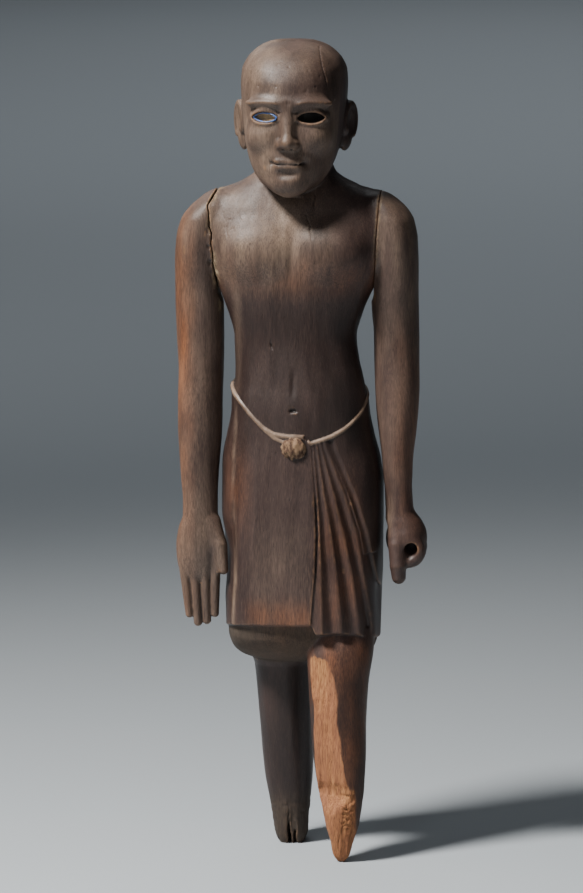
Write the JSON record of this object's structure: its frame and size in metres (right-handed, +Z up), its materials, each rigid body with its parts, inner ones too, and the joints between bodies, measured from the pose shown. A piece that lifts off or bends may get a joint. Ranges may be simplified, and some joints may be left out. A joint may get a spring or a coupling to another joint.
{
  "type": "wooden statuette",
  "caption": "Standing male statuette in dark wood with a shaved head, a knee-length pleated kilt, arms held at the sides, one leg advanced and both lower legs broken.",
  "frame": {"origin": "centre of the bounding box at its bottom, on the floor the statuette stands on", "axes": "+Z up the figure, -Y the way it faces, +X its own left"},
  "size_m": [0.1006, 0.0618, 0.3209],
  "materials": {
    "wood": "dark old wood, worn satin",
    "inlay": "dull blue glass"
  },
  "bodies": {
    "root": {"body": "wood", "right_arm": "wood", "left_arm": "wood", "eye_rim": "inlay"}
  },
  "joints": []
}
